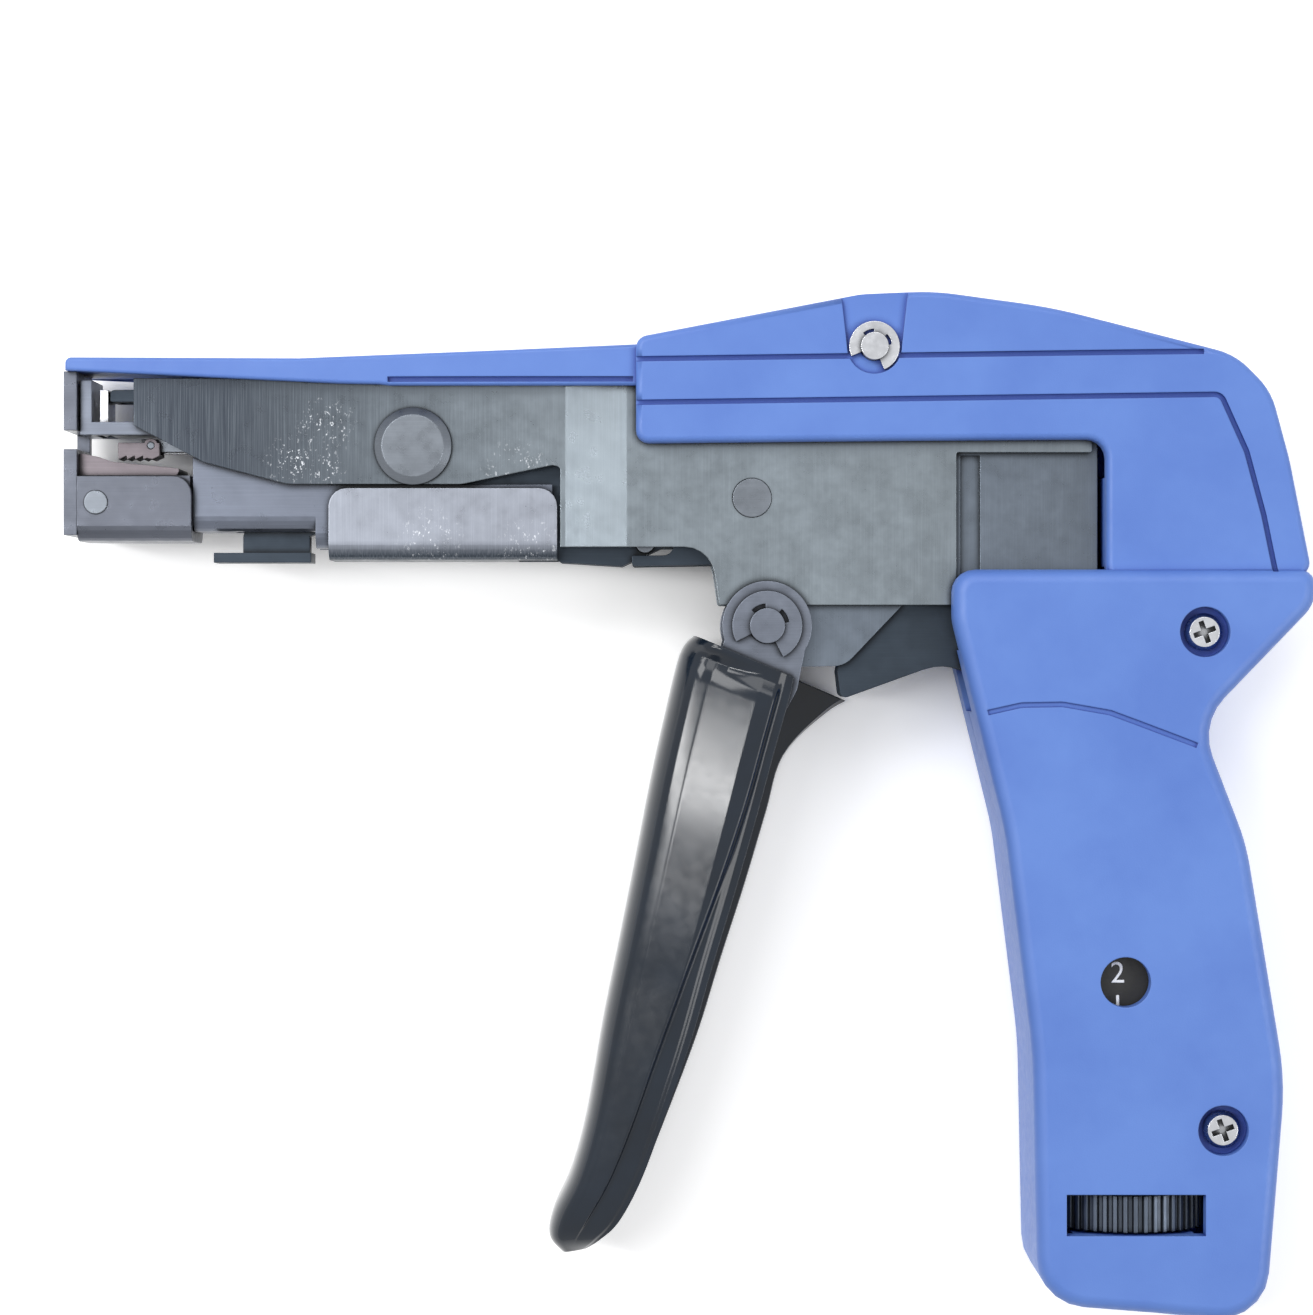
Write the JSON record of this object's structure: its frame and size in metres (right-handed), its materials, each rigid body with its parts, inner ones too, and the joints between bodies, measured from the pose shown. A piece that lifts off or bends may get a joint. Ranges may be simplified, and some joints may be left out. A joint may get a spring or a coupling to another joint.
{
  "type": "cable tie tensioning tool",
  "caption": "Pistol-shaped hand tool that pulls a cable tie tight and cuts its tail, with a moulded body, a steel barrel, a pivoting trigger and a knurled tension wheel",
  "frame": {"origin": "centre of the bounding box in plan, at the underside of the far grip face", "axes": "+X from the nose to the rear of the body, +Y up the grip towards the top rail, +Z out of the near side"},
  "size_m": [0.165, 0.1348, 0.022],
  "materials": {
    "blue_plastic": "moulded, softly shining",
    "plate_steel": "blued sheet steel, satin",
    "folded_steel": "folded sheet steel, satin",
    "light_steel": "zinc plated",
    "bright_steel": "bright plated",
    "dark_steel": "blackened",
    "black_paint": "glossy black",
    "black_plastic": "matt black"
  },
  "bodies": {
    "frame": {"housing_near": "blue_plastic", "housing_far": "blue_plastic", "side_plate_near": "plate_steel", "side_plate_far": "plate_steel", "pivot_plates": "plate_steel", "rear_bracket": "plate_steel", "barrel_channel": "folded_steel", "channel_clip": "folded_steel", "nose_face": "folded_steel", "tie_guide": "light_steel", "wedge_plate": "light_steel", "nose_box": "folded_steel", "nose_block": "folded_steel", "nose_pin": "light_steel", "cutter_rivet": "light_steel", "rocker_rivet": "light_steel", "upper_pin": "bright_steel", "upper_pin_clip": "bright_steel", "trigger_pin": "light_steel", "trigger_pin_clip": "dark_steel", "spacer_washers": "light_steel", "tension_spring": "bright_steel", "housing_screws": "bright_steel", "housing_nuts": "bright_steel"},
    "trigger": {"trigger_ears": "light_steel", "trigger_handle": "black_paint", "drive_arm": "light_steel", "trigger_spring": "bright_steel"},
    "rocker": {"rocker": "light_steel", "rocker_pins": "light_steel"},
    "puller": {"pull_bar": "light_steel", "pawl_pin": "light_steel", "pawl_spring": "bright_steel"},
    "pawl": {"gripper_pawl": "dark_steel"},
    "tension_lever": {"tension_lever": "dark_steel"},
    "cutter": {"cutter_lever": "dark_steel", "cutter_blade": "bright_steel", "lever_tail_pin": "light_steel"},
    "spring_cap": {"spring_cap": "bright_steel"},
    "tension_screw": {"tension_wheel": "dark_steel", "threaded_rod": "bright_steel"},
    "carriage": {"number_carriage": "black_plastic"}
  },
  "joints": [
    {"name": "trigger_turn", "type": "hinge", "parent": "frame", "child": "trigger", "pos_m": [0.01054, 0.02354, 0.011], "axis": [0, 0, 1], "range_deg": [0, 30], "stiffness_Nm_per_rad": 0.05, "springref_deg": -11.46},
    {"name": "rocker_turn", "type": "hinge", "parent": "frame", "child": "rocker", "pos_m": [0.00859, 0.04046, 0.011], "axis": [0, 0, 1], "range_deg": [-41, 0.5]},
    {"name": "pull_slide", "type": "slide", "parent": "frame", "child": "puller", "axis": [1, 0, 0], "range_m": [-0.0001, 0.0091]},
    {"name": "pawl_turn", "type": "hinge", "parent": "puller", "child": "pawl", "pos_m": [-0.07149, 0.04766, 0.011], "axis": [0, 0, 1], "range_deg": [-5, 0], "stiffness_Nm_per_rad": 0.002, "springref_deg": 5.73},
    {"name": "tension_lever_turn", "type": "hinge", "parent": "frame", "child": "tension_lever", "pos_m": [0.02458, 0.06023, 0.011], "axis": [0, 0, 1], "range_deg": [-3.4, 0], "stiffness_Nm_per_rad": 0.8, "springref_deg": 1.72},
    {"name": "cutter_turn", "type": "hinge", "parent": "frame", "child": "cutter", "pos_m": [-0.03624, 0.04733, 0.011], "axis": [0, 0, 1], "range_deg": [-0.1, 3.5]},
    {"name": "cap_slide", "type": "slide", "parent": "frame", "child": "spring_cap", "axis": [0, 1, 0], "range_m": [-0.0021, 0.0001]},
    {"name": "tension_wheel_turn", "type": "hinge", "parent": "frame", "child": "tension_screw", "pos_m": [0.05877, -0.05367, 0.011], "axis": [0, 1, 0], "range_deg": [-360, 720]},
    {"name": "carriage_slide", "type": "slide", "parent": "frame", "child": "carriage", "axis": [0, 1, 0], "range_m": [-0.0045, 0.0089], "deforming": ["tension_spring"]}
  ],
  "couplings": [
    {"joint": "rocker_turn", "follows": "trigger_turn", "ratio": -1.355},
    {"joint": "pull_slide", "follows": "trigger_turn", "m_per_rad": 0.01712},
    {"joint": "cutter_turn", "follows": "tension_lever_turn", "ratio": -0.98},
    {"joint": "cap_slide", "follows": "tension_lever_turn", "m_per_rad": 0.0345},
    {"joint": "carriage_slide", "follows": "tension_wheel_turn", "m_per_rad": 0.0006955}
  ]
}
